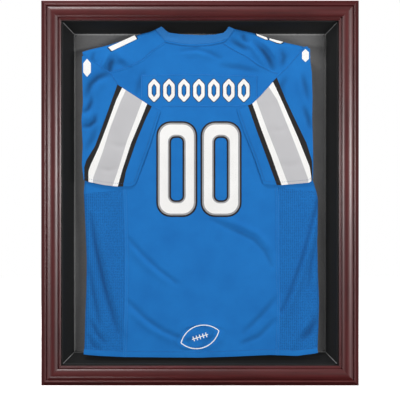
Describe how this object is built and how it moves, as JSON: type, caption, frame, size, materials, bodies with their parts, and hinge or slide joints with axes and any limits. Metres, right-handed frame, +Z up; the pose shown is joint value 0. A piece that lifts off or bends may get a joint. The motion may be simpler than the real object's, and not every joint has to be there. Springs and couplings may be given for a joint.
{
  "type": "jersey display case",
  "caption": "Wall-hung mahogany display case with a hinged clear door, black tray and clear rod, holding a football jersey shown from behind.",
  "frame": {"origin": "centre of the case's back face, where it meets the wall", "axes": "+X right as the case is looked at, +Y into the wall, +Z up"},
  "size_m": [0.871, 0.076, 1.056],
  "materials": {
    "mahogany": "satin",
    "case_wood": "matte",
    "rail_wood": "matte",
    "hardboard": "matte",
    "clear_acrylic": "gloss",
    "white_print": "satin",
    "black_tray": "satin",
    "charcoal_board": "matte",
    "zinc_steel": "satin",
    "antique_brass": "satin",
    "magnet_nickel": "polished",
    "jersey_blue": "matte",
    "twill_white": "matte",
    "twill_grey": "matte",
    "twill_black": "matte"
  },
  "bodies": {
    "case": {"case_top_board": "case_wood", "case_bottom_board": "case_wood", "case_left_board": "case_wood", "case_right_board": "case_wood", "case_screws": "zinc_steel", "hanging_rail": "rail_wood", "lower_rail": "rail_wood", "tray_cleats": "rail_wood", "rear_panel": "hardboard", "rear_panel_screws": "zinc_steel", "keyhole_hangers": "zinc_steel", "hanger_screws": "zinc_steel", "hinge_case_leaves": "antique_brass", "hinge_case_screws": "antique_brass", "hinge_pins": "antique_brass", "catch_magnets": "magnet_nickel", "tray": "black_tray", "tray_screws": "zinc_steel", "backing_board": "charcoal_board", "left_rod_bracket": "clear_acrylic", "right_rod_bracket": "clear_acrylic", "bracket_screws": "zinc_steel", "bracket_nuts": "zinc_steel"},
    "door": {"door_top_rail": "mahogany", "door_bottom_rail": "mahogany", "door_left_stile": "mahogany", "door_right_stile": "mahogany", "corner_wedges": "zinc_steel", "glazing_panel": "clear_acrylic", "glazing_emblem": "white_print", "retainer_strips": "mahogany", "retainer_pins": "zinc_steel", "hinge_door_leaves": "antique_brass", "hinge_door_screws": "antique_brass", "strike_discs": "zinc_steel", "strike_screws": "zinc_steel"},
    "rod": {"display_rod": "clear_acrylic", "jersey_back": "jersey_blue", "jersey_front": "jersey_blue", "jersey_shoulders": "jersey_blue", "left_sleeve": "jersey_blue", "right_sleeve": "jersey_blue", "sleeve_stripes_black": "twill_black", "sleeve_stripes_white": "twill_white", "sleeve_stripes_grey": "twill_grey", "jersey_collar": "jersey_blue", "name_plate": "jersey_blue", "name_lozenges": "twill_white", "number_border": "twill_black", "number_digits": "twill_white"}
  },
  "joints": [
    {"name": "door_hinge", "type": "hinge", "parent": "case", "child": "door", "pos_m": [-0.4321, -0.0516, 0], "axis": [0, 0, -1], "range_deg": [0, 170]},
    {"name": "rod_lift", "type": "slide", "parent": "case", "child": "rod", "axis": [0, 0, 1], "range_m": [0, 0.006]}
  ]
}
